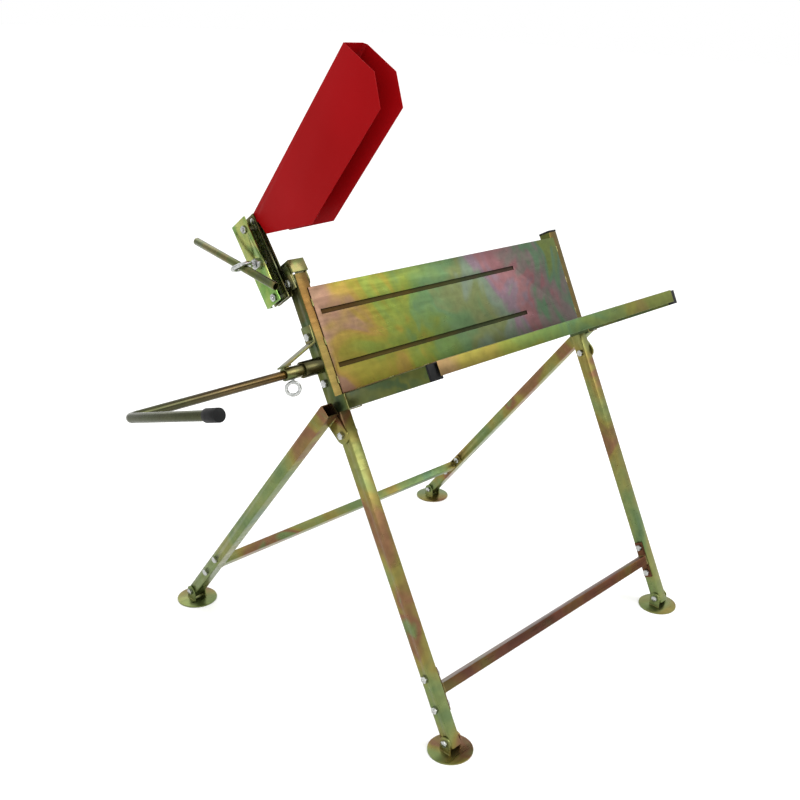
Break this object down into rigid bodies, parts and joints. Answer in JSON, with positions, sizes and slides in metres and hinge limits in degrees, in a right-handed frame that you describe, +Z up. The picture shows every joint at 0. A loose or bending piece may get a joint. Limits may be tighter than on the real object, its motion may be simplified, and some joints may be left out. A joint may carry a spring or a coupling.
{
  "type": "log cutting stand",
  "caption": "Folding steel stand with a trough for logs, a swinging clamp that holds a chain saw's bar, a hinged guard and a sliding length stop.",
  "frame": {"origin": "on the ground, under the middle of the stand's box", "axes": "X along the trough, saw clamp and length stop at -X; -Y is the front, where the trough is open; +Z up"},
  "size_m": [1.2156, 0.8578, 1.2126],
  "materials": {
    "yellow_zinc": "yellow-passivated zinc plate, slightly iridescent",
    "bright_bolt": "bright zinc plate",
    "red_guard": "gloss powder coat",
    "black_cap": "moulded, satin"
  },
  "bodies": {
    "frame": {"back_plate": "yellow_zinc", "bottom_plate": "yellow_zinc", "cross_tube_cap_left": "black_cap", "cross_tube_cap_right": "black_cap", "cross_tube_left": "yellow_zinc", "cross_tube_right": "yellow_zinc", "fold_bolt_left": "bright_bolt", "fold_bolt_right": "bright_bolt", "front_brace": "yellow_zinc", "front_brace_bolt_left_high": "bright_bolt", "front_brace_bolt_left_low": "bright_bolt", "front_brace_bolt_right_high": "bright_bolt", "front_brace_bolt_right_low": "bright_bolt", "front_foot_bolt_left": "bright_bolt", "front_foot_bolt_right": "bright_bolt", "front_leg_left": "yellow_zinc", "front_leg_right": "yellow_zinc", "holder_pivot_bolt": "bright_bolt", "leg_screw_left": "bright_bolt", "leg_screw_right": "bright_bolt", "link_bolt": "bright_bolt", "stop_hub": "yellow_zinc", "stop_link": "yellow_zinc", "stop_sleeve": "yellow_zinc", "upright_cap_right": "black_cap", "upright_left": "yellow_zinc", "upright_right": "yellow_zinc"},
    "rear_frame": {"fold_lug_left": "yellow_zinc", "fold_lug_right": "yellow_zinc", "rear_brace": "yellow_zinc", "rear_brace_bolt_left_high": "bright_bolt", "rear_brace_bolt_left_low": "bright_bolt", "rear_brace_bolt_right_high": "bright_bolt", "rear_brace_bolt_right_low": "bright_bolt", "rear_foot_bolt_left": "bright_bolt", "rear_foot_bolt_right": "bright_bolt", "rear_leg_cap_right": "black_cap", "rear_leg_left": "yellow_zinc", "rear_leg_right": "yellow_zinc"},
    "foot_front_left": {"foot_pad_front_left": "yellow_zinc"},
    "foot_front_right": {"foot_pad_front_right": "yellow_zinc"},
    "foot_rear_left": {"foot_pad_rear_left": "yellow_zinc"},
    "foot_rear_right": {"foot_pad_rear_right": "yellow_zinc"},
    "saw_holder": {"holder_bracket": "yellow_zinc", "fixed_jaw": "yellow_zinc", "bridge_plate": "yellow_zinc", "tie_bolt_high": "bright_bolt", "tie_bolt_low": "bright_bolt", "clamp_nut": "bright_bolt"},
    "moving_jaw": {"moving_jaw": "yellow_zinc", "guard_bolt": "bright_bolt"},
    "guard": {"guard": "red_guard"},
    "clamp_screw": {"clamp_screw": "bright_bolt"},
    "tommy_bar": {"tommy_bar": "yellow_zinc"},
    "stop_rod": {"stop_rod": "yellow_zinc", "stop_rod_cap": "black_cap"},
    "stop_screw": {"stop_eye_screw": "bright_bolt"}
  },
  "joints": [
    {"name": "rear_fold", "type": "hinge", "parent": "frame", "child": "rear_frame", "pos_m": [0.1677, -0.09981, 0.5587], "axis": [1, 0, 0], "range_deg": [-64, 0]},
    {"name": "foot_front_left_tilt", "type": "hinge", "parent": "frame", "child": "foot_front_left", "pos_m": [-0.1988, -0.38486, 0.0235], "axis": [1, 0, 0], "range_deg": [-20, 20]},
    {"name": "foot_front_right_tilt", "type": "hinge", "parent": "frame", "child": "foot_front_right", "pos_m": [0.5342, -0.38486, 0.0235], "axis": [1, 0, 0], "range_deg": [-20, 20]},
    {"name": "foot_rear_left_tilt", "type": "hinge", "parent": "rear_frame", "child": "foot_rear_left", "pos_m": [-0.2284, 0.38486, 0.0235], "axis": [1, 0, 0], "range_deg": [-20, 20]},
    {"name": "foot_rear_right_tilt", "type": "hinge", "parent": "rear_frame", "child": "foot_rear_right", "pos_m": [0.5638, 0.38486, 0.0235], "axis": [1, 0, 0], "range_deg": [-20, 20]},
    {"name": "saw_swing", "type": "hinge", "parent": "frame", "child": "saw_holder", "pos_m": [0.1677, 0.03416, 0.81024], "axis": [1, 0, 0], "range_deg": [-15, 34]},
    {"name": "jaw_slide", "type": "slide", "parent": "saw_holder", "child": "moving_jaw", "axis": [1, 0, 0], "range_m": [-0.004, 0.001]},
    {"name": "clamp_turn", "type": "hinge", "parent": "moving_jaw", "child": "clamp_screw", "pos_m": [0.1677, 0.08623, 0.83907], "axis": [1, 0, 0], "range_deg": [-960, 240]},
    {"name": "tommy_slide", "type": "slide", "parent": "clamp_screw", "child": "tommy_bar", "axis": [0, -0.9874, -0.1582], "range_m": [-0.02, 0.02]},
    {"name": "guard_lift", "type": "hinge", "parent": "moving_jaw", "child": "guard", "pos_m": [0.1677, 0.12072, 0.90608], "axis": [1, 0, 0], "range_deg": [-12, 30]},
    {"name": "stop_slide", "type": "slide", "parent": "frame", "child": "stop_rod", "axis": [1, 0, 0], "range_m": [-0.15, 0.25]},
    {"name": "stop_screw_turn", "type": "hinge", "parent": "frame", "child": "stop_screw", "pos_m": [-0.2735, -0.03776, 0.6752], "axis": [0, 0, 1], "continuous": true}
  ],
  "couplings": [
    {"joint": "jaw_slide", "follows": "clamp_turn", "m_per_rad": 0.00023873}
  ]
}
